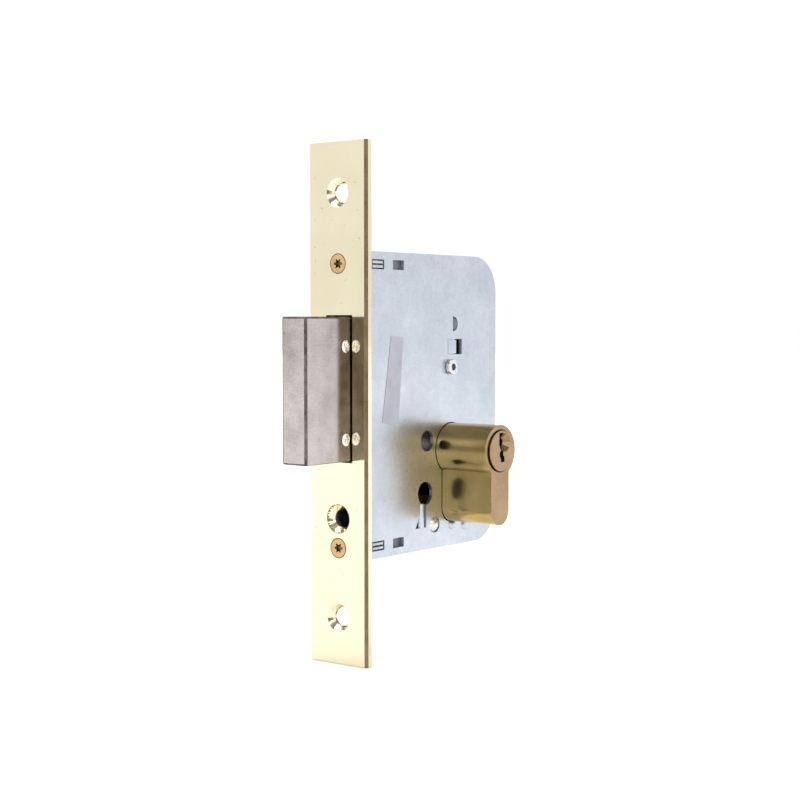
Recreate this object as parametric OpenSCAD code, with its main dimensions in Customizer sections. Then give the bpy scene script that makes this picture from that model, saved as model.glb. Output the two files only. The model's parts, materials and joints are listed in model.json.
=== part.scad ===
// Mortice deadlock with a double profile cylinder, bolt thrown.
// +X runs into the door, +Y is across its thickness and +Z is up. The origin is on the
// forend's seat face, midway between the two wood-screw holes.

/* [Forend] */
// Height of the forend
forend_h = 163.4; // [145:0.1:220]
// Width of the forend
forend_w = 23; // [21:0.5:28]
// Thickness of the forend
forend_t = 2.5; // [2:0.1:4]
// Chamfer along its near front edge
forend_bevel = 0.9; // [0.2:0.1:1.2]
// Chamfer along its far front edge
forend_far_bevel = 0.2; // [0.1:0.1:1.2]
// Distance between the wood-screw holes
fixing_pitch = 133; // [121:1:150]
// How far the forend's middle lies above the middle of its wood-screw holes
forend_lift = 0.65; // [0:0.05:1]
// Wood-screw hole
fixing_hole_d = 5.5; // [4:0.1:5.6]
// Wood-screw countersink
fixing_csk_d = 9; // [7.5:0.1:9.5]

/* [Case] */
// Height of the case
case_h = 97; // [92:1:120]
// Room in the case behind the cylinder's axis
rear_room = 25.8; // [25.5:0.1:40]
// Thickness of the case over both plates
case_w = 14; // [13.6:0.1:18]
// Sheet that the case is folded from
sheet = 1.2; // [0.8:0.1:1.5]
// Radius of the two rear corners
case_corner_r = 12; // [4:1:14]

/* [Bolt] */
// Height of the bolt
bolt_h = 45; // [36:1:46]
// Thickness of the bolt
bolt_t = 9.6; // [8:0.1:9.8]
// Height of the bolt's centre
bolt_z = 5.5; // [4.5:0.1:6.5]
// How far the bolt travels
throw = 20; // [16:0.5:21]
// What still stands out of the forend when the bolt is drawn back
bolt_proud = 1.4; // [0.2:0.1:2]
// Thickness of the bolt's tail plate
tail_t = 3; // [2:0.1:3.2]

/* [Cylinder] */
// Forend's front face to the cylinder's axis
backset = 50; // [48:1:55]
// Length of the cylinder
cylinder_l = 54; // [50:1:90]
// Height of the cylinder's axis
cylinder_z = -15.75; // [-17:0.05:-15]
// Bore that each plug turns in
plug_bore_d = 13; // [12.6:0.1:13.2]
// Diameter of the plug's face
plug_face_d = 13.3; // [13.2:0.1:14.2]
// Pins in each half
pins = 5; // [3:1:5]
// Distance from pin to pin
pin_pitch = 3.8; // [3.4:0.1:3.9]

/* [Hidden] */
$fn = 64;

cut = 1;            // how far a cutting shape runs past a face
fit = 0.05;         // radial running clearance
gap = 0.3;          // clearance between moving pieces
slide_gap = 0.5;    // bolt to its slot and to the plates

// Case
cyl_x = backset - forend_t;
case_d = cyl_x + rear_room;
face_y = case_w / 2;
inner_y = face_y - sheet;
inner_z = case_h / 2 - sheet;

// Forend screws and the blocks they enter
screw_d = 3.9;
screw_head_d = 6.4;
screw_cross = [3.4, 0.8, 1.1];
screw_hole_d = screw_d + 0.3;
screw_l = 13.5;
screw_z = case_h / 2 - 4;
block_l = 22;
block_h = 7.5;
tab_h = 3.1;
tab_front = [5.8, 11.9];
tab_rear = [16.3, 21.9];
tab_sink = 0.1;
tab_gap = 0.42;
tab_split = 0.5;

// Bolt
bolt_y = -0.5;
bolt_near = bolt_y - bolt_t / 2;
bolt_far = bolt_y + bolt_t / 2;
bolt_top = bolt_z + bolt_h / 2;
bolt_foot = bolt_z - bolt_h / 2;
bolt_nose = -forend_t - bolt_proud - throw;
bolt_rear = 7.8;
nose_bevel = [0.3, 2.6];
rivet_d = 4;
rivet_x = -forend_t - 2.3;
rivet_z = [bolt_top - 9.2, bolt_foot + 6.9];
rivet_proud = 0.3;
pocket_wall = 3;    // over and under the pocket that holds the tail

// Cylinder
cyl_half = cylinder_l / 2;
profile_d = 17;
web_w = 10;
web_drop = 24.5;
cutout_gap = 0.25;
cam_gap = 5;
bridge_drop = 16;
retain_z = cylinder_z - 19.5;
retain_hole_d = 5.5;
retain_csk_d = 9.3;
retain_tap_d = 4.2;
plug_d = plug_bore_d - 2 * fit;
plug_proud = 0.6;
plug_head_gap = 0.45;
plug_head_l = 2.2;
neck_d = 10;
neck_l = 0.7;
collar_d = 11.4;
collar_l = 1;
keyway_l = 20;
funnel_at = [1.7, 2.7];
funnel_d = 6.4;
funnel_bore_d = 2.8;
funnel_l = 1.9;
funnel_bore_l = 5;
funnel_flats = 11;
pin_d = 2.7;
pin_bore_d = 2.9;
first_pin = 7.6;
key_pin_top = 2.9;
key_pin_foot = plug_d / 2 - 0.25;
driver_top = plug_bore_d / 2 + 0.1;
driver_l = 5;
bore_plug_l = 1.7;
spring_wire_r = 0.18;
spring_turns = 6;

// Cam, which lifts the bolt along through a notch in the tail
cam_tip_r = 2;
cam_reach = 13;
cam_arc = 2 * asin(throw / 2 / cam_reach);
cam_half = cam_gap - 0.9;
cam_hub_d = 16;
cam_bore_d = collar_d + 2 * 0.1;
clutch_half = 2.3;
clutch_ear = [2.4, 6.6];

// Bolt tail
tail_near = bolt_y - tail_t / 2;
tail_far = bolt_y + tail_t / 2;
tail_front = -9;
tail_foot = cylinder_z + cam_reach * cos(cam_arc / 2) + 0.95;
notch_x = cyl_x - throw / 2;
notch_half = 3.2;
notch_top = cylinder_z + cam_reach + cam_tip_r + 0.45;
tail_rear = cyl_x + 3.5;

// Guide post, which the tail's slot slides on
post_d = 5;
post_shoulder_d = 6;
post_x = cyl_x - 0.6;
post_z = cylinder_z + 27.15;
post_spigot_d = 3.5;
post_screw_d = 2.8;
post_screw_hole_d = 3;
slot_w = post_d + 0.4;

// Stump and the lever that drops over it
stump_d = 4;
stump_x = post_x - 18.9;
stump_z = post_z + 5.4;
stump_end = 3.6;
tail_top = stump_z + 6;
lever_near = tail_far + gap;
lever_t = 1.8;
lever_x = 10;
lever_z = bolt_top + 6.5;
lever_hub_r = 4.5;
lever_edge = stump_z + stump_d / 2 + gap;
lever_front = stump_x - 5.7;
lever_arm_z = bolt_top + 1.6;
pocket_thrown = [stump_x - 2.3, stump_x + 4.2, 2.3];
pocket_drawn = [stump_x + throw - 2.3, stump_x + throw + 4.2, 4.4];
lever_tail = [cyl_x + 5.5, cyl_x + 12.5, cylinder_z + 15.95];
relief_x = min(lever_front - throw - 2.4, bolt_rear);
relief_z = lever_edge - 4.1;

// Lower rivet and its spacer
rivet_post = [cyl_x - 9, cylinder_z - 24.85];
spacer_d = 5.4;
rivet_shank_d = 3.2;
rivet_head_d = 4.9;
rivet_head_h = 1;
rivet_sink = 0.4;

// Openings in the plates
fixing_hole_x = cyl_x - 13.2;
fixing_hole_z = cylinder_z + 3.05;
fixing_bore_d = 6.9;
gate_hole = [cyl_x - 14.2, cylinder_z - 14.15];
gate_hole_d = 7.8;
gate_slot = [cyl_x - 16.9, cyl_x - 13.6, cylinder_z - 25.35];
gate_notch = [2.5, 4.7];
gate_rod_d = gate_slot[1] - gate_slot[0];
moon_x = cyl_x + 1;
moon_z = cylinder_z + 41.5;
moon_h = 5;
moon_tilt = 25;
moon_gap = 1.3;
window_x = [cyl_x - 1.8, cyl_x + 3, cyl_x + 6];
window_z = [cylinder_z + 31.3, cylinder_z + 36.4];
nubs = [[cyl_x + 0.6, cylinder_z - 25.8], [cyl_x + 7.7, cylinder_z - 26.5]];
nub_d = 3.4;
nub_h = 1.1;
label_t = 0.1;
label_corners = [[15.3, 22], [21.5, 21.6], [19, -7.2], [10.8, -5.5]];

// ---------- Shared shapes ----------

module rod_x(x0, x1, y, z, d) {
    translate([x0, y, z]) rotate([0, 90, 0]) cylinder(d = d, h = x1 - x0);
}

module rod_y(x, z, y0, y1, d) {
    translate([x, y1, z]) rotate([90, 0, 0]) cylinder(d = d, h = y1 - y0);
}

module rod_z(x, y, z0, z1, d) {
    translate([x, y, z0]) cylinder(d = d, h = z1 - z0);
}

// Plate of the outline given as its child, drawn in X and Z
module slab(y0, y1) {
    translate([0, y1, 0]) rotate([90, 0, 0]) linear_extrude(y1 - y0) children();
}

module box(low, high) {
    translate(low) cube(high - low);
}

// Countersink from the forend's front face, with its clearance hole
module csk_hole(z, hole_d, head_d) {
    depth = (head_d - hole_d) / 2;
    rod_x(-forend_t - cut, sheet + cut, 0, z, hole_d);
    translate([-forend_t, 0, z]) rotate([0, 90, 0]) cylinder(d1 = head_d, d2 = hole_d, h = depth);
    rod_x(-forend_t - cut, -forend_t, 0, z, head_d);
}

module case_outline(inset) {
    r = case_corner_r - inset;
    x1 = case_d - inset;
    z1 = case_h / 2 - inset;
    translate([inset, -z1]) square([x1 - r - inset, 2 * z1]);
    translate([inset, r - z1]) square([x1 - inset, 2 * (z1 - r)]);
    for (side = [-1, 1]) translate([x1 - r, side * (z1 - r)]) circle(r);
}

module profile(grow) {
    translate([cyl_x, cylinder_z]) {
        circle(d = profile_d + 2 * grow);
        translate([-web_w / 2 - grow, web_w / 2 - web_drop])
            square([web_w + 2 * grow, web_drop - web_w / 2]);
        translate([0, web_w / 2 - web_drop]) circle(d = web_w + 2 * grow);
    }
}

// The far half of a piece that is the near half mirrored
module far_side() {
    mirror([0, 1, 0]) children();
}

// Wire of radius r along the path, with a square section
function unit(v) = v / norm(v);
function way(path, i) = path[min(i + 1, len(path) - 1)] - path[max(i - 1, 0)];
function ring(p, dir, up, r) = let (side = unit(cross(dir, up)), rise = unit(cross(side, dir)))
    [for (k = [0:3]) p + r * (cos(90 * k) * side + sin(90 * k) * rise)];

module wire(path, up, r) {
    n = len(path);
    points = [for (i = [0:n - 1]) each ring(path[i], way(path, i), up, r)];
    walls = [for (i = [0:n - 2], k = [0:3]) let (a = 4 * i + k, b = 4 * i + (k + 1) % 4)
        each [[a, b, b + 4], [a, b + 4, a + 4]]];
    polyhedron(points, concat([[3, 2, 1, 0]], walls, [[for (k = [0:3]) 4 * (n - 1) + k]]));
}

// ---------- Forend ----------

module forend() {
    color([0.93, 0.9, 0.78]) difference() {
        translate([0, 0, forend_lift]) linear_extrude(forend_h, center = true) polygon([
            [-forend_t, forend_bevel - forend_w / 2], [-forend_t, forend_w / 2 - forend_far_bevel],
            [forend_far_bevel - forend_t, forend_w / 2], [0, forend_w / 2],
            [0, -forend_w / 2], [forend_bevel - forend_t, -forend_w / 2]
        ]);
        for (side = [-1, 1]) {
            csk_hole(side * fixing_pitch / 2, fixing_hole_d, fixing_csk_d);
            csk_hole(side * screw_z, screw_hole_d, screw_head_d + 0.1);
        }
        csk_hole(retain_z, retain_hole_d, retain_csk_d);
        bolt_slot();
    }
}

module bolt_slot() {
    box([-forend_t - cut, bolt_near - slide_gap, bolt_foot - slide_gap],
        [sheet + cut, bolt_far + slide_gap, bolt_top + slide_gap]);
}

module forend_screw(z) {
    depth = (screw_head_d - screw_d) / 2;
    difference() {
        union() {
            translate([-forend_t, 0, z]) rotate([0, 90, 0])
                cylinder(d1 = screw_head_d, d2 = screw_d, h = depth);
            rod_x(depth - forend_t, screw_l - forend_t, 0, z, screw_d);
        }
        for (turn = [0, 90]) translate([-forend_t, 0, z]) rotate([turn, 0, 0])
            cube([2 * screw_cross[2], screw_cross[0], screw_cross[1]], center = true);
    }
}

module forend_screws() {
    color([0.8, 0.66, 0.36]) for (side = [-1, 1]) forend_screw(side * screw_z);
}

// ---------- Case ----------

// Holes that go through both plates
module plate_holes() {
    slab(-face_y - cut, face_y + cut) {
        profile(cutout_gap);
        translate([fixing_hole_x, fixing_hole_z]) circle(d = fixing_bore_d);
        for (side = [-1, 1], tab = [tab_front, tab_rear])
            translate([tab[0], side * screw_z - tab_h / 2]) square([tab[1] - tab[0], tab_h]);
    }
    rod_y(rivet_post[0], rivet_post[1], -face_y - cut, face_y + cut, rivet_shank_d);
}

module case_back() {
    color([0.74, 0.78, 0.82]) difference() {
        slab(inner_y, face_y) case_outline(0);
        plate_holes();
        rod_y(post_x, post_z, inner_y - cut, face_y + cut, post_spigot_d);
        rod_y(lever_x, lever_z, inner_y - cut, face_y + cut, post_spigot_d);
    }
}

// Wall that runs all round between the two plates
module case_rim() {
    color([0.74, 0.78, 0.82]) difference() {
        slab(-inner_y, inner_y) case_outline(0);
        slab(-inner_y - cut, inner_y + cut) case_outline(sheet);
        bolt_slot();
        for (side = [-1, 1]) rod_x(-cut, sheet + cut, 0, side * screw_z, screw_hole_d);
        rod_x(-cut, sheet + cut, 0, retain_z, retain_hole_d);
    }
}

// Outline of the half-moon lance, straight on its near-forend side
module half_moon() {
    translate([moon_x, moon_z]) intersection() {
        scale([1.1, 1]) circle(moon_h / 2);
        translate([0, -moon_h]) square([moon_h, 2 * moon_h]);
    }
}

module window(margin) {
    translate([window_x[0] + margin, window_z[0] + margin])
        square([window_x[1] - window_x[0] - margin, window_z[1] - window_z[0] - 2 * margin]);
}

module case_cover() {
    color([0.76, 0.8, 0.84]) union() {
        difference() {
            slab(-face_y, -inner_y) case_outline(0);
            plate_holes();
            rod_y(post_x, post_z, -face_y - cut, -inner_y + cut, post_screw_hole_d);
            rod_y(rivet_post[0], rivet_post[1], -face_y - cut, rivet_sink - face_y, rivet_head_d + 0.5);
            slab(-face_y - cut, -inner_y + cut) {
                half_moon();
                translate([window_x[0], window_z[0]])
                    square([window_x[2] - window_x[0], window_z[1] - window_z[0]]);
                gate_opening();
            }
        }
        moon_tongue();
        slab(-inner_y - 0.4, -inner_y) window(0);
        slab(-face_y + 0.1, -inner_y) window(0.3);
        rod_z((gate_slot[0] + gate_slot[1]) / 2, gate_rod_d / 2 - face_y, gate_slot[2] - 0.1,
            gate_hole[1] - gate_hole_d / 2 + 0.5, gate_rod_d);
        for (nub = nubs) dome(nub[0], nub[1], nub_d, nub_h, 0);
    }
}

// Tongue of the lance, cut short on its straight side and pressed in there
module moon_tongue() {
    intersection() {
        slab(-face_y, -inner_y + 2) intersection() {
            half_moon();
            translate([moon_x + moon_gap, moon_z - moon_h]) square(2 * moon_h);
        }
        translate([moon_x + moon_h * 0.6, -face_y, moon_z - moon_h]) rotate([0, 0, -moon_tilt])
            translate([-2 * moon_h, 0, 0]) cube([2 * moon_h, 0.6, 2 * moon_h]);
    }
}

// Round hole that runs down into a slot, with a small side notch at its foot
module gate_opening() {
    translate(gate_hole) circle(d = gate_hole_d);
    translate([gate_slot[0], gate_slot[2]]) {
        square([gate_slot[1] - gate_slot[0], gate_hole[1] - gate_slot[2]]);
        polygon([[cut, 0], [-gate_notch[0], 0], [0, gate_notch[1]], [cut, gate_notch[1]]]);
    }
}

// Block inside the case that takes a forend screw, with a split tab in both plates
module screw_block() {
    color([0.7, 0.73, 0.76]) difference() {
        union() {
            box([sheet, -inner_y, inner_z - block_h], [sheet + block_l, inner_y, inner_z]);
            box([tab_front[0] + tab_gap, tab_sink - face_y, screw_z - tab_h / 2 + tab_gap],
                [tab_front[1] - tab_gap, face_y - tab_sink, screw_z + tab_h / 2 - tab_gap]);
        }
        rod_x(0, screw_l, 0, screw_z, screw_d + 0.1);
        for (side = [-1, 1]) box([tab_front[0] - cut, side * face_y - sheet, screw_z - tab_split / 2],
            [tab_front[1] + cut, side * face_y + sheet, screw_z + tab_split / 2]);
    }
}

module upper_block() {
    screw_block();
}

module lower_block() {
    mirror([0, 0, 1]) screw_block();
}

// Post between the plates, riveted into the far one. The bolt's tail slides on it.
module guide_post() {
    color([0.72, 0.74, 0.76]) difference() {
        union() {
            rod_y(post_x, post_z, -inner_y, tail_near - gap, post_shoulder_d);
            rod_y(post_x, post_z, tail_near - gap, tail_far + gap, post_d);
            rod_y(post_x, post_z, tail_far + gap, inner_y, post_shoulder_d);
            rod_y(post_x, post_z, inner_y, face_y, post_spigot_d);
        }
        rod_y(post_x, post_z, -inner_y - cut, 0, post_screw_hole_d);
    }
}

module cover_screw() {
    head_d = 5.2;
    proud = 1.7;
    hex_d = 2.3;
    hex_floor = 0.5;
    color([0.62, 0.64, 0.67]) difference() {
        union() {
            rod_y(post_x, post_z, -face_y, -1, post_screw_d);
            rod_y(post_x, post_z, -face_y - proud, -face_y, head_d);
        }
        translate([post_x, -face_y - hex_floor, post_z]) rotate([90, 0, 0])
            cylinder(d = hex_d, h = proud, $fn = 6);
    }
}

module lower_spacer() {
    color([0.72, 0.74, 0.76]) difference() {
        rod_y(rivet_post[0], rivet_post[1], -inner_y, inner_y, spacer_d);
        rod_y(rivet_post[0], rivet_post[1], -inner_y - cut, inner_y + cut, rivet_shank_d);
    }
}

// Dome of diameter d and height h on the near face, its foot sunk below that face
module dome(x, z, d, h, sink) {
    r = (d * d / 4 + h * h) / (2 * h);
    intersection() {
        translate([x, r - h + sink - face_y, z]) sphere(r);
        rod_y(x, z, sink - face_y - h - cut, sink - face_y, d);
    }
}

module lower_rivet() {
    color([0.66, 0.68, 0.71]) union() {
        rod_y(rivet_post[0], rivet_post[1], rivet_sink - face_y, face_y, rivet_shank_d);
        dome(rivet_post[0], rivet_post[1], rivet_head_d, rivet_head_h, rivet_sink);
        far_side() dome(rivet_post[0], rivet_post[1], rivet_head_d, rivet_head_h, 0);
    }
}

module paper_label() {
    color([0.93, 0.93, 0.97]) slab(-face_y - label_t, -face_y) polygon(label_corners);
}

// ---------- Bolt ----------

module bolt_rivet_holes(y0, y1) {
    for (z = rivet_z) rod_y(rivet_x, z, y0, y1, rivet_d);
}

module bolt_head() {
    color([0.8, 0.79, 0.78]) difference() {
        translate([0, 0, bolt_foot]) linear_extrude(bolt_h) polygon([
            [bolt_nose, bolt_near + nose_bevel[1]], [bolt_nose, bolt_far - nose_bevel[1]],
            [bolt_nose + nose_bevel[0], bolt_far], [bolt_rear, bolt_far],
            [bolt_rear, bolt_near], [bolt_nose + nose_bevel[0], bolt_near]
        ]);
        box([tail_front, tail_near, bolt_foot + pocket_wall],
            [bolt_rear + cut, tail_far, bolt_top - pocket_wall]);
        box([relief_x, tail_far - fit, relief_z], [bolt_rear + cut, bolt_far + cut, bolt_top + cut]);
        bolt_rivet_holes(bolt_near - cut, bolt_far + cut);
    }
}

module bolt_tail() {
    color([0.7, 0.7, 0.7]) difference() {
        slab(tail_near, tail_far) {
            translate([tail_front, bolt_foot + pocket_wall])
                square([bolt_rear - tail_front, bolt_h - 2 * pocket_wall]);
            translate([bolt_rear, tail_foot]) square([tail_rear - bolt_rear, tail_top - tail_foot]);
        }
        bolt_rivet_holes(tail_near - cut, tail_far + cut);
        rod_y(stump_x, stump_z, tail_near - cut, tail_far + cut, stump_d);
        slab(tail_near - cut, tail_far + cut) {
            for (x = [post_x - throw, post_x]) translate([x, post_z]) circle(d = slot_w);
            translate([post_x - throw, post_z - slot_w / 2]) square([throw, slot_w]);
            translate([notch_x - notch_half, tail_foot - cut])
                square([2 * notch_half, notch_top - tail_foot + cut]);
        }
    }
}

module bolt_rivets() {
    color([0.82, 0.82, 0.82]) bolt_rivet_holes(bolt_near - rivet_proud, bolt_far);
}

module bolt_stump() {
    color([0.6, 0.61, 0.63]) rod_y(stump_x, stump_z, tail_near, stump_end, stump_d);
}

// ---------- Locking lever ----------

module lever() {
    top = lever_z + lever_hub_r;
    color([0.78, 0.66, 0.38]) difference() {
        slab(lever_near, lever_near + lever_t) {
            translate([lever_x, lever_z]) circle(lever_hub_r);
            polygon([
                [lever_x, lever_arm_z], [lever_front, lever_arm_z], [lever_front, lever_edge],
                [lever_tail[1], lever_edge], [lever_tail[1], lever_z - 10],
                [lever_tail[1] - 6, lever_z - 2], [lever_x + 4, top], [lever_x, top]
            ]);
            translate([lever_tail[0], lever_tail[2]])
                square([lever_tail[1] - lever_tail[0], lever_z - 10 - lever_tail[2]]);
        }
        rod_y(lever_x, lever_z, lever_near - cut, lever_near + lever_t + cut, post_d + 2 * fit);
        slab(lever_near - cut, lever_near + lever_t + cut)
            for (p = [pocket_thrown, pocket_drawn])
                translate([p[0], lever_edge - cut]) square([p[1] - p[0], p[2] + cut]);
    }
}

module lever_pivot() {
    color([0.72, 0.74, 0.76]) union() {
        rod_y(lever_x, lever_z, -inner_y, inner_y, post_d);
        rod_y(lever_x, lever_z, lever_near + lever_t + gap, inner_y, 7);
        rod_y(lever_x, lever_z, inner_y, face_y, post_spigot_d);
    }
}

// Torsion spring round the pivot: one leg down beside the near plate, one over the lever
module lever_spring() {
    coil_r = 3.3;
    turns = 4.25;
    steps = 51;
    coil = [for (i = [0:steps]) let (a = 360 * turns * i / steps)
        [lever_x + coil_r * cos(a), -5 + 5.4 * i / steps, lever_z + coil_r * sin(a)]];
    fixed_leg = [[lever_x + coil_r, -5, lever_z - 5.5]];
    leg_z = lever_z + coil_r + 0.3;
    lever_leg = [[lever_x + 14, 0.7, leg_z], [lever_x + 17.5, lever_near + lever_t / 2, leg_z]];
    color([0.6, 0.62, 0.64]) wire(concat(fixed_leg, coil, lever_leg), [0, 1, 0], 0.35);
}

// ---------- Cylinder ----------

module at_pins() {
    for (i = [0:pins - 1]) translate([cyl_x, -first_pin - i * pin_pitch, cylinder_z]) children();
}

module cylinder_body() {
    color([0.75, 0.63, 0.35]) difference() {
        slab(-cyl_half, cyl_half) profile(0);
        rod_y(cyl_x, cylinder_z, -cyl_half - cut, cyl_half + cut, plug_bore_d);
        for (side = [-1, 1]) {
            recess = cyl_half + cut / 2 - plug_head_l / 2;
            rod_y(cyl_x, cylinder_z, side * recess - (plug_head_l + cut) / 2,
                side * recess + (plug_head_l + cut) / 2, plug_face_d + 2 * plug_head_gap);
        }
        box([cyl_x - profile_d, -cam_gap, cylinder_z - bridge_drop],
            [cyl_x + profile_d, cam_gap, cylinder_z + profile_d]);
        at_pins() rod_z(0, 0, -web_drop - cut, 0, pin_bore_d);
        far_side() at_pins() rod_z(0, 0, -web_drop - cut, 0, pin_bore_d);
        rod_x(cyl_x - web_w, cyl_x + web_w, 0, retain_z, retain_tap_d);
    }
}

// Zigzag key slot, drawn about the plug's axis
module keyway() {
    translate([cyl_x, cylinder_z]) polygon([
        [-1.3, 5.9], [1.1, 5.9], [1.1, 3.4], [1.9, 2.6], [1.9, 0.9], [0.9, 0.1], [0.9, -1.4],
        [1.6, -2.1], [1.6, -3.7], [-0.4, -3.7], [-0.4, -2.5], [-1.1, -1.8], [-1.1, -0.6],
        [-0.3, 0.2], [-0.3, 1.7], [-1.3, 2.7]
    ]);
}

module plug() {
    head_y = -plug_proud - cyl_half;
    difference() {
        union() {
            rod_y(cyl_x, cylinder_z, head_y, plug_head_l - cyl_half - 0.1, plug_face_d);
            rod_y(cyl_x, cylinder_z, head_y, -cam_gap, plug_d);
            rod_y(cyl_x, cylinder_z, -cam_gap, neck_l - cam_gap, neck_d);
            rod_y(cyl_x, cylinder_z, neck_l - cam_gap, neck_l + collar_l - cam_gap, collar_d);
        }
        slab(head_y - cut, head_y + keyway_l) keyway();
        translate([cyl_x + funnel_at[0], head_y, cylinder_z + funnel_at[1]]) rotate([-90, 0, 0]) {
            cylinder(d1 = funnel_d, d2 = funnel_bore_d, h = funnel_l, $fn = funnel_flats);
            cylinder(d = funnel_bore_d, h = funnel_bore_l);
        }
        at_pins() rod_z(0, 0, -plug_bore_d, -2.5, pin_bore_d);
    }
}

module near_plug() {
    color([0.85, 0.7, 0.5]) plug();
}

module far_plug() {
    color([0.85, 0.7, 0.5]) far_side() plug();
}

module key_pins() {
    at_pins() rod_z(0, 0, -key_pin_foot, -key_pin_top - 0.9, pin_d);
    at_pins() translate([0, 0, -key_pin_top - 0.9]) cylinder(d1 = pin_d, d2 = 1, h = 0.8);
}

module near_key_pins() {
    color([0.8, 0.68, 0.4]) key_pins();
}

module far_key_pins() {
    color([0.8, 0.68, 0.4]) far_side() key_pins();
}

module driver_pins() {
    at_pins() rod_z(0, 0, -driver_top - driver_l, -driver_top, pin_d);
}

module near_driver_pins() {
    color([0.7, 0.72, 0.74]) driver_pins();
}

module far_driver_pins() {
    color([0.7, 0.72, 0.74]) far_side() driver_pins();
}

module pin_springs() {
    top = -driver_top - driver_l - 0.05 - spring_wire_r;
    foot = bore_plug_l - web_drop + 0.35 + spring_wire_r;
    steps = 8 * spring_turns;
    coil_r = pin_d / 2 - spring_wire_r - 0.05;
    rise = (top - foot) / steps;
    path = [for (i = [0:steps]) [coil_r * cos(45 * i), coil_r * sin(45 * i), foot + rise * i]];
    at_pins() wire(path, [0, 0, 1], spring_wire_r);
}

module near_pin_springs() {
    color([0.65, 0.66, 0.68]) pin_springs();
}

module far_pin_springs() {
    color([0.65, 0.66, 0.68]) far_side() pin_springs();
}

module pin_bore_plugs() {
    color([0.75, 0.63, 0.35]) union() {
        at_pins() rod_z(0, 0, 0.3 - web_drop, bore_plug_l + 0.3 - web_drop, pin_bore_d);
        far_side() at_pins() rod_z(0, 0, 0.3 - web_drop, bore_plug_l + 0.3 - web_drop, pin_bore_d);
    }
}

// Open ring in the plug's neck, which keeps the plug in its bore
module clip() {
    clip_mouth = 6;
    difference() {
        rod_y(cyl_x, cylinder_z, 0.1 - cam_gap, neck_l - cam_gap - fit, plug_bore_d + 1.4);
        rod_y(cyl_x, cylinder_z, -cam_gap, -cam_gap + cut, neck_d + 2 * fit);
        box([cyl_x - clip_mouth / 2, -cam_gap - cut, cylinder_z - plug_bore_d],
            [cyl_x + clip_mouth / 2, cut - cam_gap, cylinder_z - clip_mouth / 2]);
    }
}

module near_clip() {
    color([0.5, 0.51, 0.53]) clip();
}

module far_clip() {
    color([0.5, 0.51, 0.53]) far_side() clip();
}

// Hub and finger between the two plugs. The finger points to the notch with the bolt thrown.
module cam() {
    color([0.72, 0.72, 0.7]) difference() {
        slab(-cam_half, cam_half) translate([cyl_x, cylinder_z]) rotate(cam_arc / 2) {
            circle(d = cam_hub_d);
            translate([-cam_tip_r, 0]) square([2 * cam_tip_r, cam_reach]);
            translate([0, cam_reach]) circle(cam_tip_r);
        }
        rod_y(cyl_x, cylinder_z, -cam_half - cut, cam_half + cut, cam_bore_d);
        clutch_ears(cam_half + cut, 0.15);
    }
}

module clutch_ears(half, grow) {
    slab(-half, half) translate([cyl_x, cylinder_z]) rotate(cam_arc / 2) for (side = [-1, 1])
        translate([side * (clutch_ear[1] + 3) / 2, 0])
            square([clutch_ear[1] - 3 + 2 * grow, clutch_ear[0] + 2 * grow], center = true);
}

// Sliding dog inside the cam that a key pushes over to its own side
module clutch() {
    color([0.66, 0.67, 0.7]) difference() {
        union() {
            rod_y(cyl_x, cylinder_z, -clutch_half, clutch_half, collar_d);
            clutch_ears(clutch_half, 0);
        }
        for (side = [-1, 1]) translate([cyl_x, side * clutch_half, cylinder_z]) rotate([0, -cam_arc / 2, 0])
            cube([2.2, 2, collar_d + cut], center = true);
    }
}

forend();
forend_screws();
case_back();
case_rim();
case_cover();
upper_block();
lower_block();
guide_post();
cover_screw();
lower_spacer();
lower_rivet();
bolt_head();
bolt_tail();
bolt_rivets();
bolt_stump();
lever();
lever_pivot();
lever_spring();
cylinder_body();
near_plug();
far_plug();
near_key_pins();
far_key_pins();
near_driver_pins();
far_driver_pins();
near_pin_springs();
far_pin_springs();
pin_bore_plugs();
near_clip();
far_clip();
cam();
clutch();
paper_label();
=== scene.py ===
import json
import math

import bpy
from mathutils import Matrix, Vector


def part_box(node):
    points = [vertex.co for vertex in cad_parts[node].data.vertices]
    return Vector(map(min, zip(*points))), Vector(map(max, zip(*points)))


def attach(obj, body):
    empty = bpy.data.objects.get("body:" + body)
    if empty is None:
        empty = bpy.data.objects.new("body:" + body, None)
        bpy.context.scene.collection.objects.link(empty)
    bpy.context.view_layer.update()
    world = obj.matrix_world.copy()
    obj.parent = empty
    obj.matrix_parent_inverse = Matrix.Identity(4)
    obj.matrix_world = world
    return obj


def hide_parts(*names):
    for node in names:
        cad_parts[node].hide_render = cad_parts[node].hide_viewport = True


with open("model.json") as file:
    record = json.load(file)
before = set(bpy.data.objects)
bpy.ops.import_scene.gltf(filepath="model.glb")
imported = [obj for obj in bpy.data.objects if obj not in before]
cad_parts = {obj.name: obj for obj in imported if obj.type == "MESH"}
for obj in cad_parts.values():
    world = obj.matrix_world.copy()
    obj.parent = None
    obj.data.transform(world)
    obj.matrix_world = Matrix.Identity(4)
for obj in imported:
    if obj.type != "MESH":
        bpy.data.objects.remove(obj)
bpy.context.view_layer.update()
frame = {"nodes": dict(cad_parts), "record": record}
nodes = frame["nodes"]
mm = 0.001


def centreOf(node):
    low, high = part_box(node)
    return (low + high) / 2


# where the pieces are, all read from the frame
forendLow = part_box("forend")[0]
caseLow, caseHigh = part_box("case_cover")
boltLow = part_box("bolt_head")[0]
plugAxis = centreOf("near_plug")
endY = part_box("cylinder_body")[1].y


# ---- camera, light and floor ----

cameraSet = {
    "place": Vector((-0.38224, -0.32370, 0.02668)),
    "yaw": 51.78,
    "pitch": -2.83,
    "lens": 71.91,
    "sensor": 36,
    "nearest": 0.01,
}


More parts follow.
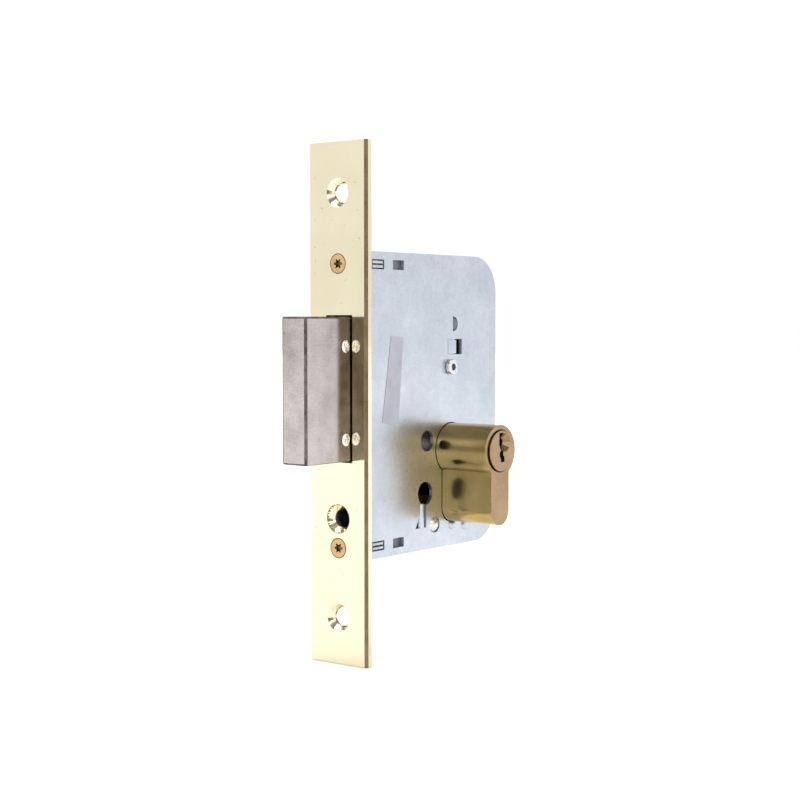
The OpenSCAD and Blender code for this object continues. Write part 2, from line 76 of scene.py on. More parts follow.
def addCamera():
    data = bpy.data.cameras.new("camera")
    data.lens = cameraSet["lens"]
    data.sensor_width = cameraSet["sensor"]
    data.clip_start = cameraSet["nearest"]
    camera = bpy.data.objects.new("camera", data)
    bpy.context.scene.collection.objects.link(camera)
    camera.location = cameraSet["place"]
    camera.rotation_euler = (math.radians(90 + cameraSet["pitch"]), 0, -math.radians(cameraSet["yaw"]))
    bpy.context.scene.camera = camera


lightSet = {
    "strength": 2.0,
    "rise": [
        (0.0, 0.50), (0.5, 0.50), (0.61, 0.54), (0.70, 1.0),
        (0.76, 0.72), (0.81, 0.24), (0.90, 0.14), (1.0, 0.30),
    ],
    "sunPower": 2.1,
    "sunSpread": 70,
    "sunTurn": (-15, 0, 0),
}


def addWorld():
    # white round the horizon, a bright ring above it and darker overhead, which gives round metal its bands
    world = bpy.data.worlds.new("softBox")
    bpy.context.scene.world = world
    world.use_nodes = True
    tree = world.node_tree
    background = tree.nodes["Background"]
    direction = tree.nodes.new("ShaderNodeTexCoord")
    split = tree.nodes.new("ShaderNodeSeparateXYZ")
    raised = tree.nodes.new("ShaderNodeMapRange")
    raised.inputs["From Min"].default_value = -1
    bar = tree.nodes.new("ShaderNodeValToRGB")
    while len(bar.color_ramp.elements) < len(lightSet["rise"]):
        bar.color_ramp.elements.new(0.5)
    for element, (place, grey) in zip(bar.color_ramp.elements, lightSet["rise"]):
        element.position = place
        element.color = (grey, grey, grey, 1)
    tree.links.new(direction.outputs["Generated"], split.inputs["Vector"])
    tree.links.new(split.outputs["Z"], raised.inputs["Value"])
    tree.links.new(raised.outputs["Result"], bar.inputs["Fac"])
    tree.links.new(bar.outputs["Color"], background.inputs["Color"])
    background.inputs["Strength"].default_value = lightSet["strength"]


def addSun():
    data = bpy.data.lights.new("softSun", "SUN")
    data.energy = lightSet["sunPower"]
    data.angle = math.radians(lightSet["sunSpread"])
    light = bpy.data.objects.new("softSun", data)
    bpy.context.scene.collection.objects.link(light)
    light.rotation_euler = [math.radians(turn) for turn in lightSet["sunTurn"]]


cardSet = {
    "away": 0.62, "left": -0.10, "right": 0.09, "height": 0.24, "colour": (0.27, 0.21, 0.15),
    "lift": 0.4,  # mm above the foot of the forend
}


def studioPlane(name, places):
    # a flat piece of the studio from four corners
    mesh = bpy.data.meshes.new(name)
    mesh.from_pydata([tuple(place) for place in places], [], [(0, 1, 2, 3)])
    plane = bpy.data.objects.new(name, mesh)
    bpy.context.scene.collection.objects.link(plane)
    return plane


def addCard():
    # brown card behind the camera, seen only in polished metal
    away = Vector((cameraSet["place"].x, cameraSet["place"].y, 0)).normalized()
    across = Vector((-away.y, away.x, 0))
    left, right = across * cardSet["left"], across * cardSet["right"]
    low = away * cardSet["away"] + Vector((0, 0, forendLow.z + cardSet["lift"] * mm))
    high = low + Vector((0, 0, cardSet["height"]))
    brown = bpy.data.materials.new("brownCard")
    brown.use_nodes = True
    tree = brown.node_tree
    tree.nodes.remove(tree.nodes["Principled BSDF"])
    glow = tree.nodes.new("ShaderNodeEmission")
    glow.inputs["Color"].default_value = (*cardSet["colour"], 1)
    tree.links.new(glow.outputs["Emission"], tree.nodes["Material Output"].inputs["Surface"])
    card = studioPlane("card", (low + left, low + right, high + right, high + left))
    card.data.materials.append(brown)
    card.visible_camera = False
    card.visible_diffuse = False
    card.visible_shadow = False


floorSet = {
    "size": 8, "colour": (0.97, 0.97, 0.97), "gloss": 0.8, "shine": 0.1, "glow": 0.06,
    "drop": 0.2,  # mm below the foot of the forend
}


def addFloor():
    half = floorSet["size"] / 2
    z = forendLow.z - floorSet["drop"] * mm
    corners = ((-half, -half, z), (half, -half, z), (half, half, z), (-half, half, z))
    floor = studioPlane("floor", corners)
    pale = bpy.data.materials.new("paleFloor")
    pale.use_nodes = True
    shader = pale.node_tree.nodes["Principled BSDF"]
    shader.inputs["Base Color"].default_value = (*floorSet["colour"], 1)
    shader.inputs["Roughness"].default_value = floorSet["gloss"]
    shader.inputs["Specular IOR Level"].default_value = floorSet["shine"]
    shader.inputs["Emission Color"].default_value = (1, 1, 1, 1)
    shader.inputs["Emission Strength"].default_value = floorSet["glow"]
    floor.data.materials.append(pale)


addCamera()
addWorld()
addSun()
addFloor()
addCard()
bpy.ops.object.select_all(action="DESELECT")
bpy.context.scene.view_settings.view_transform = "Standard"
print("camera, light and floor are set")


# ---- materials, all on Object coordinates ----

def newFinish(name, metallic=1.0):
    finish = bpy.data.materials.new(name)
    finish.use_nodes = True
    shader = finish.node_tree.nodes["Principled BSDF"]
    shader.inputs["Metallic"].default_value = metallic
    return finish, finish.node_tree, shader


def placedCoords(tree, scale=(1, 1, 1), centre=(0, 0, 0)):
    coords = tree.nodes.new("ShaderNodeTexCoord")
    mapping = tree.nodes.new("ShaderNodeMapping")
    mapping.vector_type = "TEXTURE"
    mapping.inputs["Location"].default_value = centre
    mapping.inputs["Scale"].default_value = [1 / s for s in scale]
    tree.links.new(coords.outputs["Object"], mapping.inputs["Vector"])
    return mapping.outputs["Vector"]


def cloud(tree, vector, scale, detail=4, rough=0.55):
    noise = tree.nodes.new("ShaderNodeTexNoise")
    noise.inputs["Scale"].default_value = scale
    noise.inputs["Detail"].default_value = detail
    noise.inputs["Roughness"].default_value = rough
    tree.links.new(vector, noise.inputs["Vector"])
    return noise.outputs["Fac"]


def ramp(tree, value, stops):
    node = tree.nodes.new("ShaderNodeValToRGB")
    bar = node.color_ramp
    while len(bar.elements) < len(stops):
        bar.elements.new(0.5)
    for element, (place, colour) in zip(bar.elements, stops):
        element.position = place
        element.color = (*colour, 1)
    tree.links.new(value, node.inputs["Fac"])
    return node.outputs["Color"]


def spread(tree, value, low, high, fromLow=0.3, fromHigh=0.7):
    node = tree.nodes.new("ShaderNodeMapRange")
    node.inputs["From Min"].default_value = fromLow
    node.inputs["From Max"].default_value = fromHigh
    node.inputs["To Min"].default_value = low
    node.inputs["To Max"].default_value = high
    tree.links.new(value, node.inputs["Value"])
    return node.outputs["Result"]


def multiplied(tree, first, second, amount):
    node = tree.nodes.new("ShaderNodeMix")
    node.data_type = "RGBA"
    node.blend_type = "MULTIPLY"
    node.inputs["Factor"].default_value = amount
    tree.links.new(first, node.inputs[6])
    tree.links.new(second, node.inputs[7])
    return node.outputs[2]


def addBump(tree, shader, heights, distance):
    normal = None
    for height, strength in heights:
        bump = tree.nodes.new("ShaderNodeBump")
        bump.inputs["Strength"].default_value = strength
        bump.inputs["Distance"].default_value = distance
        tree.links.new(height, bump.inputs["Height"])
        if normal is not None:
            tree.links.new(normal, bump.inputs["Normal"])
        normal = bump.outputs["Normal"]
    tree.links.new(normal, shader.inputs["Normal"])


brassSet = {
    "pale": (0.84, 0.775, 0.575), "deep": (0.80, 0.725, 0.52), "cloudSize": 60,
    "gloss": (0.09, 0.13), "scratch": 0.03, "wave": 0.01, "specks": 700,
}


def polishedBrass():
    finish, tree, shader = newFinish("polishedBrass")
    plain = placedCoords(tree)
    alongForend = placedCoords(tree, scale=(900, 900, 14))
    patches = cloud(tree, plain, brassSet["cloudSize"], 3)
    lines = cloud(tree, alongForend, 1.0, 5, 0.6)
    specks = cloud(tree, plain, brassSet["specks"], 2, 0.5)
    colour = ramp(tree, patches, [(0.3, brassSet["deep"]), (0.7, brassSet["pale"])])
    speckTone = ramp(tree, specks, [(0.24, (0.66, 0.56, 0.42)), (0.30, (1.0, 1.0, 1.0))])
    tree.links.new(multiplied(tree, colour, speckTone, 0.7), shader.inputs["Base Color"])
    tree.links.new(spread(tree, lines, *brassSet["gloss"]), shader.inputs["Roughness"])
    addBump(tree, shader, [(lines, brassSet["scratch"]), (patches, brassSet["wave"])], 0.2 * mm)
    return finish


zincSet = {
    "light": (0.60, 0.64, 0.695), "mid": (0.505, 0.545, 0.605),
    "patches": 70, "spangle": 420, "grain": 1500, "gloss": (0.27, 0.31),
}


def galvanisedSteel():
    finish, tree, shader = newFinish("galvanisedSteel")
    plain = placedCoords(tree)
    grain = cloud(tree, plain, zincSet["grain"], 4, 0.65)
    broad = cloud(tree, plain, zincSet["patches"], 3)
    cells = tree.nodes.new("ShaderNodeTexVoronoi")
    cells.inputs["Scale"].default_value = zincSet["spangle"]
    tree.links.new(plain, cells.inputs["Vector"])
    cellGrey = tree.nodes.new("ShaderNodeSeparateColor")
    tree.links.new(cells.outputs["Color"], cellGrey.inputs["Color"])
    base = ramp(tree, broad, [(0.3, zincSet["mid"]), (0.7, zincSet["light"])])
    cellTone = ramp(tree, cellGrey.outputs["Red"], [(0.0, (0.93, 0.94, 0.95)), (1.0, (1.0, 1.0, 1.0))])
    grainTone = ramp(tree, grain, [(0.35, (0.88, 0.89, 0.90)), (0.62, (1.0, 1.0, 1.0))])
    colour = multiplied(tree, multiplied(tree, base, cellTone, 0.8), grainTone, 0.8)
    tree.links.new(colour, shader.inputs["Base Color"])
    tree.links.new(spread(tree, grain, *zincSet["gloss"]), shader.inputs["Roughness"])
    addBump(tree, shader, [(grain, 0.07), (cellGrey.outputs["Red"], 0.01)], 0.1 * mm)
    return finish


nickelSet = {
    "pale": (0.55, 0.50, 0.49), "mid": (0.47, 0.425, 0.415), "deep": (0.37, 0.33, 0.32),
    "blotch": 95, "grain": 1900, "gloss": (0.15, 0.21),
}


def satinNickel():
    finish, tree, shader = newFinish("satinNickel")
    plain = placedCoords(tree)
    blotch = cloud(tree, plain, nickelSet["blotch"], 5, 0.6)
    alongBolt = placedCoords(tree, scale=(40, 700, 1100))
    lines = cloud(tree, alongBolt, 1.0, 5, 0.6)
    grain = cloud(tree, plain, nickelSet["grain"], 3, 0.6)
    tones = [(0.34, nickelSet["deep"]), (0.5, nickelSet["mid"]), (0.68, nickelSet["pale"])]
    colour = ramp(tree, blotch, tones)
    grainTone = ramp(tree, grain, [(0.32, (0.80, 0.78, 0.76)), (0.6, (1.0, 1.0, 1.0))])
    tree.links.new(multiplied(tree, colour, grainTone, 0.8), shader.inputs["Base Color"])
    tree.links.new(spread(tree, blotch, *nickelSet["gloss"]), shader.inputs["Roughness"])
    addBump(tree, shader, [(lines, 0.06), (blotch, 0.03)], 0.15 * mm)
    return finish


def plainMetal(name, pale, deep, gloss, grainSize=900, bump=0.12):
    finish, tree, shader = newFinish(name)
    plain = placedCoords(tree)
    grain = cloud(tree, plain, grainSize, 4, 0.6)
    broad = cloud(tree, plain, grainSize / 8, 3)
    tone = ramp(tree, grain, [(0.3, (0.9, 0.9, 0.9)), (0.65, (1.0, 1.0, 1.0))])
    colour = multiplied(tree, ramp(tree, broad, [(0.3, deep), (0.7, pale)]), tone, 0.8)
    tree.links.new(colour, shader.inputs["Base Color"])
    tree.links.new(spread(tree, grain, *gloss), shader.inputs["Roughness"])
    addBump(tree, shader, [(grain, bump)], 0.1 * mm)
    return finish


cylinderSet = {
    "pale": (0.52, 0.375, 0.15), "deep": (0.42, 0.29, 0.10), "gloss": (0.17, 0.24), "patches": 110,
}


def satinBrass():
    finish, tree, shader = newFinish("satinBrass")
    plain = placedCoords(tree)
    alongCylinder = placedCoords(tree, scale=(1300, 45, 1300))
    lines = cloud(tree, alongCylinder, 1.0, 5, 0.6)
    broad = cloud(tree, plain, cylinderSet["patches"], 4)
    colour = ramp(tree, broad, [(0.3, cylinderSet["deep"]), (0.7, cylinderSet["pale"])])
    tree.links.new(colour, shader.inputs["Base Color"])
    tree.links.new(spread(tree, broad, *cylinderSet["gloss"]), shader.inputs["Roughness"])
    addBump(tree, shader, [(lines, 0.05)], 0.1 * mm)
    return finish


plugSet = {
    "pale": (0.40, 0.285, 0.165), "deep": (0.30, 0.20, 0.11), "gloss": (0.22, 0.34),
    "ringSize": 380, "patches": 160,
}


def turnedBrass():
    finish, tree, shader = newFinish("turnedBrass")
    centred = placedCoords(tree, centre=(plugAxis.x, 0, plugAxis.z))
    rings = tree.nodes.new("ShaderNodeTexWave")
    rings.wave_type = "RINGS"
    rings.rings_direction = "Y"
    rings.inputs["Scale"].default_value = plugSet["ringSize"]
    rings.inputs["Distortion"].default_value = 0.6
    rings.inputs["Detail"].default_value = 2
    tree.links.new(centred, rings.inputs["Vector"])
    broad = cloud(tree, centred, plugSet["patches"], 4)
    colour = ramp(tree, broad, [(0.3, plugSet["deep"]), (0.7, plugSet["pale"])])
    tree.links.new(colour, shader.inputs["Base Color"])
    tree.links.new(spread(tree, broad, *plugSet["gloss"]), shader.inputs["Roughness"])
    addBump(tree, shader, [(rings.outputs["Fac"], 0.05)], 0.05 * mm)
    return finish


labelSet = {
    "pale": (0.44, 0.445, 0.50), "deep": (0.38, 0.385, 0.435), "fibre": 2600, "wear": 220, "gloss": 0.7,
}


def labelPaper():
    finish, tree, shader = newFinish("labelPaper", metallic=0.0)
    plain = placedCoords(tree)
    fibre = cloud(tree, plain, labelSet["fibre"], 4, 0.7)
    wear = cloud(tree, plain, labelSet["wear"], 4)
    tone = ramp(tree, fibre, [(0.3, (0.93, 0.93, 0.94)), (0.7, (1.0, 1.0, 1.0))])
    base = ramp(tree, wear, [(0.3, labelSet["deep"]), (0.65, labelSet["pale"])])
    tree.links.new(multiplied(tree, base, tone, 0.9), shader.inputs["Base Color"])
    shader.inputs["Roughness"].default_value = labelSet["gloss"]
    addBump(tree, shader, [(fibre, 0.15)], 0.05 * mm)
    return finish


finishes = {
    "polished_brass": polishedBrass(),
    "case_steel": galvanisedSteel(),
    "bolt_nickel": satinNickel(),
    "cylinder_brass": satinBrass(),
    "plug_brass": turnedBrass(),
    "label_paper": labelPaper(),
    "screw_brass": plainMetal("platedBrass", (0.66, 0.46, 0.24), (0.52, 0.34, 0.16), (0.22, 0.36)),
    "block_steel": plainMetal("zincPlate", (0.58, 0.62, 0.66), (0.46, 0.50, 0.54), (0.45, 0.6)),
    "screw_steel": plainMetal("zincScrew", (0.78, 0.79, 0.80), (0.64, 0.65, 0.67), (0.2, 0.34)),
    "cut_wall": plainMetal("cutWall", (0.58, 0.60, 0.63), (0.42, 0.44, 0.47), (0.6, 0.75)),
    # cut sheet edges, made darker as painted shade for the dark outlines round the openings
    "cut_edge_painted_shade": plainMetal("cutEdgePaintedShade", (0.26, 0.27, 0.30), (0.16, 0.17, 0.19), (0.5, 0.65)),
    # rough worn bolt corners, painted almost black as a painted dark reflection
    "bolt_edge": plainMetal("roughCornerPaintedReflection", (0.24, 0.20, 0.18), (0.05, 0.042, 0.038), (0.5, 0.65), 2600, 0.6),
    # brass edges painted darker; round the countersinks this is painted shade
    "brass_edge": plainMetal("darkenedBrassEdge", (0.26, 0.20, 0.12), (0.17, 0.125, 0.07), (0.25, 0.4)),
    "ray_shade": plainMetal("rayShade", (0.34, 0.22, 0.11), (0.24, 0.15, 0.07), (0.3, 0.45)),
    "rivet_steel": plainMetal("brightRivet", (0.93, 0.92, 0.91), (0.78, 0.76, 0.75), (0.12, 0.26), 1500, 0.2),
    "screw_gap": plainMetal("screwGap", (0.24, 0.15, 0.08), (0.12, 0.075, 0.04), (0.4, 0.55)),
    # dark steel that paints the shade inside the case and in the cover screw's hex recess
    "inside_steel": plainMetal("paintedInsideShade", (0.27, 0.285, 0.32), (0.17, 0.18, 0.21), (0.45, 0.6)),
    "inner_steel": plainMetal("millSteel", (0.52, 0.52, 0.52), (0.40, 0.40, 0.41), (0.30, 0.45)),
    "lever_brass": plainMetal("stampedBrass", (0.62, 0.50, 0.28), (0.50, 0.38, 0.19), (0.30, 0.46)),
    "spring_steel": plainMetal("springWire", (0.42, 0.42, 0.44), (0.30, 0.30, 0.32), (0.22, 0.36)),
    "key_slot": plainMetal("slotShadow", (0.10, 0.07, 0.04), (0.06, 0.04, 0.025), (0.45, 0.6)),
    "cam_steel": plainMetal("sinteredSteel", (0.52, 0.50, 0.47), (0.38, 0.37, 0.35), (0.42, 0.58)),
}
slotOf = {entry["node"]: entry["material_slot"] for entry in frame["record"]["subparts"]}
bodies = frame["record"]["behaviour"]["bodies"]
bodyOf = {name: body for body, names in bodies.items() for name in names}


def paint(piece, slotName):
    piece.data.materials.clear()
    piece.data.materials.append(finishes[slotName])


for name, part in nodes.items():
    paint(part, slotOf[name])
print("the finishes are on every CAD node")


# ---- pieces that get softened edges ----

def pickOnly(piece):
    bpy.ops.object.select_all(action="DESELECT")
    piece.select_set(True)
    bpy.context.view_layer.objects.active = piece


def applyModifiers(piece):
    pickOnly(piece)
    for modifier in list(piece.modifiers):
        bpy.ops.object.modifier_apply(modifier=modifier.name)


softSet = {
    "segments": 2, "sharpFrom": 32, "smoothUpTo": 35, "merge": 0.002, "flatUpTo": 0.5, "flatWeight": 60,
    "nearBox": 0.4,  # mm, because the bolt's nose slants a little inside its box
}


def trueFlats(piece, smoothUpTo):
    # large faces keep their own normals, so their reflections stay straight
    pickOnly(piece)
    bpy.ops.object.shade_smooth_by_angle(angle=math.radians(smoothUpTo))
    weighted = piece.modifiers.new("flats", "WEIGHTED_NORMAL")
    weighted.weight = softSet["flatWeight"]
    weighted.keep_sharp = True
    applyModifiers(piece)


def standsFor(piece, node):
    paint(piece, slotOf[node])
    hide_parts(node)
    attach(piece, bodyOf[node])
    return piece


boxEdgesOnly = {"bolt_head"}  # only its outer corners are worn, not its holes


def weighBoxEdges(piece, node):
    # gives the edges along the corners of the node's box a bevel weight
    low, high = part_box(node)
    mesh = piece.data
    weights = mesh.attributes.new("bevel_weight_edge", "FLOAT", "EDGE")
    near = softSet["nearBox"] * mm
    for edge in mesh.edges:
        ends = [mesh.vertices[index].co for index in edge.vertices]
        sides = [(i, side[i]) for i in range(3) for side in (low, high)]
        touched = sum(all(abs(end[i] - place) < near for end in ends) for i, place in sides)
        weights.data[edge.index].value = 1.0 if touched >= 2 else 0.0


def softened(node, bevelWidth, smoothUpTo):
    # a merged copy of the CAD node with its flat faces joined and its edges rounded
    piece = nodes[node].copy()
    piece.data = nodes[node].data.copy()
    piece.name = node + "Finished"
    piece.parent = None
    for key in list(piece.keys()):
        del piece[key]
    bpy.context.scene.collection.objects.link(piece)
    pickOnly(piece)
    bpy.ops.object.mode_set(mode="EDIT")
    bpy.ops.mesh.select_all(action="SELECT")
    bpy.ops.mesh.remove_doubles(threshold=softSet["merge"] * mm)
    bpy.ops.mesh.dissolve_limited(angle_limit=math.radians(softSet["flatUpTo"]))
    bpy.ops.object.mode_set(mode="OBJECT")
    bevel = piece.modifiers.new("edges", "BEVEL")
    bevel.width = bevelWidth * mm
    bevel.segments = softSet["segments"]
    bevel.limit_method = "ANGLE"
    bevel.angle_limit = math.radians(softSet["sharpFrom"])
    if node in boxEdgesOnly:
        weighBoxEdges(piece, node)
        bevel.limit_method = "WEIGHT"
    bevel.use_clamp_overlap = True
    applyModifiers(piece)
    trueFlats(piece, smoothUpTo)
    return standsFor(piece, node)


softEdges = {
    "forend": 0.12, "bolt_head": 0.6, "case_cover": 0.2, "case_back": 0.2, "case_rim": 0.12,
    "upper_block": 0.15, "lower_block": 0.15, "cover_screw": 0.45, "lower_rivet": 0.15,
    "cylinder_body": 0.22, "near_plug": 0.1, "far_plug": 0.1,
}
flatSided = {"near_plug": 12, "far_plug": 12}  # degrees; the flats round the funnel stay crisp
finished = {
    name: softened(name, width, flatSided.get(name, softSet["smoothUpTo"]))
    for name, width in softEdges.items()
}
print("edges are softened")


# ---- second finishes: cut ends, worn corners, dark recesses, and painted shade and painted reflection on edges and in recesses ----

def addFinish(piece, finishName, chosen):
    # faces that chosen picks get a second finish
    piece.data.materials.append(finishes[finishName])
    index = len(piece.data.materials) - 1
    for face in piece.data.polygons:
        if chosen(face):
            face.material_index = index


keySlotSet = {
    "halfWidth": 2.1, "below": 4.0, "above": 6.2, "deeper": 0.9,
    "boreHalf": 3.3, "boreTop": 4.4, "boreDeeper": 1.2,
}


def inKeySlot(face):
    x = abs(face.center.x - plugAxis.x) < keySlotSet["halfWidth"] * mm
    z = -keySlotSet["below"] * mm < face.center.z - plugAxis.z < keySlotSet["above"] * mm
    slotWall = x and abs(face.center.y) < endY - keySlotSet["deeper"] * mm
    return z and abs(face.normal.y) < 0.5 and (slotWall or inFunnelBore(face))


def inFunnelBore(face):
    # the round bore behind the funnel's flats
    inX = abs(face.center.x - plugAxis.x) < keySlotSet["boreHalf"] * mm
    inZ = face.center.z - plugAxis.z < keySlotSet["boreTop"] * mm
    return inX and inZ and abs(face.center.y) < endY - keySlotSet["boreDeeper"] * mm


funnelSet = {"at": (1.7, 2.7), "r": 3.3, "flats": 11}


def onShadedFlat(face):
    # every other flat of the funnel
    x = face.center.x - plugAxis.x - funnelSet["at"][0] * mm
    z = face.center.z - plugAxis.z - funnelSet["at"][1] * mm
    flat = math.floor(math.atan2(z, x) / (2 * math.pi) * funnelSet["flats"])
    tilted = 0.3 < abs(face.normal.y) < 0.9
    return tilted and math.hypot(x, z) < funnelSet["r"] * mm and flat % 2 == 0


coverSet = {"border": 2, "blockSink": 0.6}


def onOpening(face):
    # inside the cover's outline, so on the wall of one of its openings
    border = coverSet["border"] * mm
    inX = caseLow.x + border < face.center.x < caseHigh.x - border
    return abs(face.normal.y) < 0.2 and inX and abs(face.center.z) < caseHigh.z - border


def onEdge(face):
    # a softened edge, which faces along none of the three axes
    return max(abs(part) for part in face.normal) < 0.97


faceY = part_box("case_back")[1].y
mounts = {mount["name"]: mount for mount in frame["record"]["mounts"]}
halfPitch = mounts["forend_screw_holes"]["dims"]["spacing_y_mm"] / 2
holeHeights = (halfPitch, mounts["cylinder_screw_hole"]["pos_m"][2] / mm, -halfPitch)
holeSet = {"outer": (4.36, 4.75), "inner": (2.62, 2.9), "chamfer": 1.1}
nubSet = {"below": -41.0, "from": 46.0, "to": 58.0, "rodBelow": -30, "rodFrom": 30, "rodTo": 34.5}


def onNub(face):
    # the two round nubs and the rod in the gate are bright, not cut
    inX = nubSet["from"] * mm < face.center.x < nubSet["to"] * mm
    inRodX = nubSet["rodFrom"] * mm < face.center.x < nubSet["rodTo"] * mm
    onRod = inRodX and face.center.z < nubSet["rodBelow"] * mm
    return (inX and face.center.z < nubSet["below"] * mm) or onRod


def onChamfer(face):
    # the forend's near front chamfer, which is painted darker
    atSide = face.center.y < forendLow.y + holeSet["chamfer"] * mm
    return face.normal.x < -0.5 and face.normal.y < -0.5 and atSide


def onHoleRim(face):
    # narrow rings at the mouth and the throat of each countersink, painted dark as painted shade of the gap
    # round the screw heads
    if not onEdge(face):
        return False
    away = min(math.hypot(face.center.y, face.center.z - z * mm) for z in holeHeights) / mm
    return any(low < away < high for low, high in (holeSet["outer"], holeSet["inner"]))


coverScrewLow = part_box("cover_screw")[0]
coverScrewMid = centreOf("cover_screw")
hexSet = {"r": 1.3, "below": 0.1}


def inHexRecess(face):
    away = math.hypot(face.center.x - coverScrewMid.x, face.center.z - coverScrewMid.z)
    return away < hexSet["r"] * mm and face.center.y > coverScrewLow.y + hexSet["below"] * mm


addFinish(finished["cylinder_body"], "plug_brass", lambda face: abs(face.normal.y) > 0.6)
addFinish(finished["case_cover"], "cut_wall", onOpening)
# painted shade on the cover's softened edges, except on the nubs and the rod
addFinish(finished["case_cover"], "cut_edge_painted_shade", lambda face: onEdge(face) and not onNub(face))
# painted shade on the back's inner face, seen through the cover's openings
addFinish(finished["case_back"], "inside_steel", lambda face: face.normal.y < -0.9)
# painted shade on the back's softened edges
addFinish(finished["case_back"], "cut_edge_painted_shade", onEdge)
sunkY = faceY - coverSet["blockSink"] * mm
# painted shade on the blocks' faces that sit sunk behind the cover
for name in ("upper_block", "lower_block"):
    addFinish(finished[name], "inside_steel", lambda face: abs(face.center.y) < sunkY)
# painted shade on the countersink rings round the screws, and a darker near chamfer
addFinish(finished["forend"], "brass_edge", lambda face: onChamfer(face) or onHoleRim(face))
# a painted dark reflection on the bolt's rough rounded corners
addFinish(finished["bolt_head"], "bolt_edge", onEdge)
# painted shade in the cover screw's hex recess
addFinish(finished["cover_screw"], "inside_steel", inHexRecess)
for name in ("near_plug", "far_plug"):
    addFinish(finished[name], "key_slot", inKeySlot)
    addFinish(finished[name], "ray_shade", onShadedFlat)
print("cut ends, worn corners and dark recesses are set")


# ---- modelling by hand ----

def pickFaces(piece, chosen):
    # object mode selection, read when edit mode starts
    pickOnly(piece)
    mesh = piece.data
    mesh.vertices.foreach_set("select", [False] * len(mesh.vertices))
    mesh.edges.foreach_set("select", [False] * len(mesh.edges))
    for face in mesh.polygons:
        face.select = chosen(face)
    bpy.ops.object.mode_set(mode="EDIT")
    bpy.ops.mesh.select_mode(type="FACE")


def pickCorners(piece, chosen):
    pickOnly(piece)
    mesh = piece.data
    mesh.edges.foreach_set("select", [False] * len(mesh.edges))
    mesh.polygons.foreach_set("select", [False] * len(mesh.polygons))
    for corner in mesh.vertices:
        corner.select = chosen(corner)
    bpy.ops.object.mode_set(mode="EDIT")
    bpy.ops.mesh.select_mode(type="VERT")


def doneEditing():
    bpy.ops.object.mode_set(mode="OBJECT")


def pushOut(move, size=(1, 1, 1), about=(0, 0, 0)):
    # extrudes the selected faces, then moves and scales them
    bpy.ops.mesh.extrude_region_move(TRANSFORM_OT_translate={"value": move})
    if size != (1, 1, 1):
        bpy.ops.transform.resize(value=size, center_override=about)


def fixPlace(piece):
    pickOnly(piece)
    bpy.ops.object.transform_apply(location=True, rotation=True, scale=True)


def joined(pieces, name):
    bpy.ops.object.select_all(action="DESELECT")
    for piece in pieces:
        piece.select_set(True)
    bpy.context.view_layer.objects.active = pieces[0]
    bpy.ops.object.join()
    pieces[0].name = name
    return pieces[0]


# ---- forend screws with a six-lobed recess ----

screwSet = {
    "sides": 48, "shankR": 1.95, "rim": 0.28, "dish": 0.12, "recessR": 1.6, "lobes": 6,
    "lobePull": 0.66, "recessDepth": 0.9, "recessFoot": 0.75, "tip": 0.8, "tipNarrow": 0.7,
    "shadowR": 1.5, "shadowFrom": 0.2, "shadowTo": 1.2,
}
screwLow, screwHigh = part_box("forend_screws")
screwHeadR = (screwHigh.y - screwLow.y) / 2
screwHeights = (screwHigh.z - screwHeadR, screwLow.z + screwHeadR)


def forendScrew(z):
    front = screwLow.x
    coneDepth = screwHeadR - screwSet["shankR"] * mm
    bpy.ops.object.select_all(action="DESELECT")
    bpy.ops.mesh.primitive_cone_add(
        vertices=screwSet["sides"], radius1=screwHeadR, radius2=screwSet["shankR"] * mm, depth=coneDepth,
        location=(front + coneDepth / 2, 0, z), rotation=(0, math.radians(90), 0))
    screw = bpy.context.object
    fixPlace(screw)
    axisPoint = (front, 0, z)
    # shank and its chamfered tip
    pickFaces(screw, lambda face: face.normal.x > 0.9)
    tip = screwSet["tip"] * mm
    pushOut((screwHigh.x - front - coneDepth - tip, 0, 0))
    narrow = screwSet["tipNarrow"]
    pushOut((tip, 0, 0), (1, narrow, narrow), axisPoint)
    doneEditing()
    # sunk ring round a slightly dished face
    pickFaces(screw, lambda face: face.normal.x < -0.9)
    bpy.ops.mesh.inset(thickness=screwSet["rim"] * mm)
    bpy.ops.mesh.inset(thickness=screwHeadR - (screwSet["rim"] + screwSet["recessR"]) * mm)
    bpy.ops.transform.translate(value=(screwSet["dish"] * mm, 0, 0))
    doneEditing()
    # every other part of the inner ring is pulled in to make the lobes
    lobeTurn = 2 * math.pi / screwSet["lobes"]

    def betweenLobes(corner):
        away = math.hypot(corner.co.y, corner.co.z - z)
        turn = math.atan2(corner.co.z - z, corner.co.y) % lobeTurn
        onRing = abs(away - screwSet["recessR"] * mm) < 0.05 * mm and corner.co.x < front + 0.5 * mm
        return onRing and 0.25 * lobeTurn < turn < 0.75 * lobeTurn

    pickCorners(screw, betweenLobes)
    pull = screwSet["lobePull"]
    bpy.ops.transform.resize(value=(1, pull, pull), center_override=axisPoint)
    doneEditing()
    pickFaces(screw, lambda face: face.normal.x < -0.9 and len(face.vertices) == screwSet["sides"])
    foot = screwSet["recessFoot"]
    pushOut((screwSet["recessDepth"] * mm, 0, 0), (1, foot, foot), axisPoint)
    doneEditing()
    pickOnly(screw)
    bpy.ops.object.shade_smooth_by_angle(angle=math.radians(30))
    return screw


forendScrews = joined([forendScrew(z) for z in screwHeights], "forendScrewsLobed")
standsFor(forendScrews, "forend_screws")


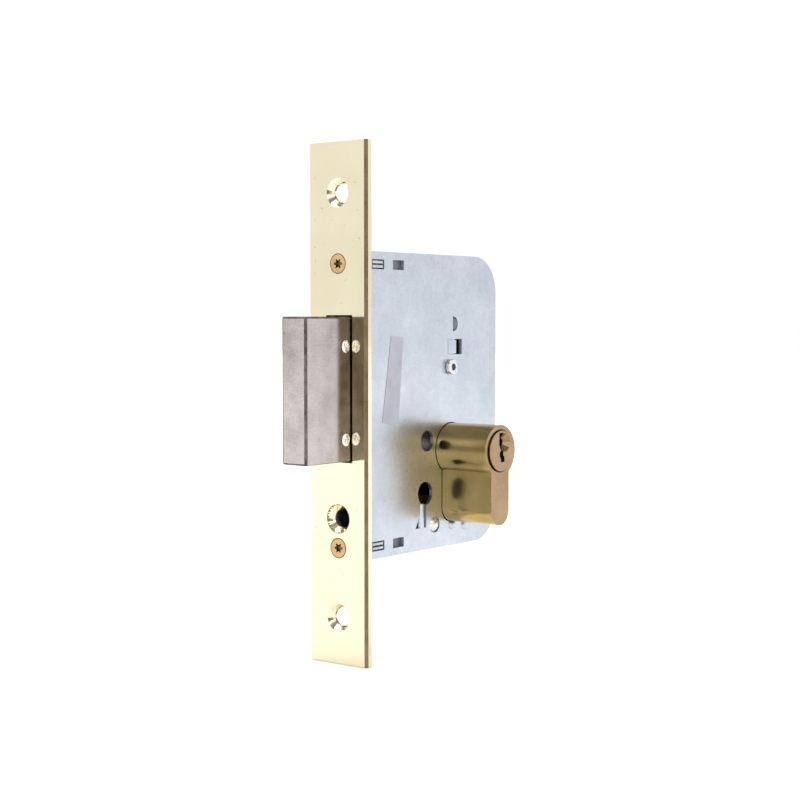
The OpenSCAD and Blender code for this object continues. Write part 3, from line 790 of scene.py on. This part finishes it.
def inScrewShadow(face):
    z = min(screwHeights, key=lambda middle: abs(face.center.z - middle))
    away = math.hypot(face.center.y, face.center.z - z)
    deep = face.center.x - screwLow.x
    atDepth = screwSet["shadowFrom"] * mm < deep < screwSet["shadowTo"] * mm
    inRecess = atDepth and away < screwSet["shadowR"] * mm
    inRim = face.normal.x < -0.9 and away > screwHeadR - screwSet["rim"] * mm
    return inRecess or inRim


addFinish(forendScrews, "screw_gap", inScrewShadow)
print("the forend screws are modelled")


# ---- hammered rivets through the bolt ----

rivetSet = {"sides": 12, "ring": 0.5, "rise": (0.28, 0.16, 0.06), "rough": 0.24}
rivetLow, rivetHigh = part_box("bolt_rivets")
rivetR = (rivetHigh.x - rivetLow.x) / 2
rivetHeights = (rivetHigh.z - rivetR, rivetLow.z + rivetR)
firstSeed = 3


def boltRivet(z, seed):
    x = (rivetLow.x + rivetHigh.x) / 2
    length = rivetHigh.y - boltLow.y
    bpy.ops.object.select_all(action="DESELECT")
    bpy.ops.mesh.primitive_cylinder_add(
        vertices=rivetSet["sides"], radius=rivetR, depth=length,
        location=(x, boltLow.y + length / 2, z), rotation=(math.radians(90), 0, 0))
    rivet = bpy.context.object
    fixPlace(rivet)
    pickFaces(rivet, lambda face: face.normal.y < -0.9)
    total = sum(rivetSet["rise"])
    for rise in rivetSet["rise"]:
        bpy.ops.mesh.inset(thickness=rivetSet["ring"] * mm)
        bpy.ops.transform.translate(value=(0, -rise / total * (boltLow.y - rivetLow.y), 0))
    doneEditing()
    pickCorners(rivet, lambda corner: corner.co.y < boltLow.y - 0.02 * mm)
    bpy.ops.transform.vertex_random(offset=rivetSet["rough"] * mm, seed=seed)
    doneEditing()
    # nothing stands further out than the CAD rivet
    for corner in rivet.data.vertices:
        corner.co.y = max(corner.co.y, rivetLow.y)
    return rivet


rivetPair = [boltRivet(z, seed) for seed, z in enumerate(rivetHeights, firstSeed)]
rivets = joined(rivetPair, "boltRivetsHammered")
standsFor(rivets, "bolt_rivets")
print("the bolt rivets are modelled")
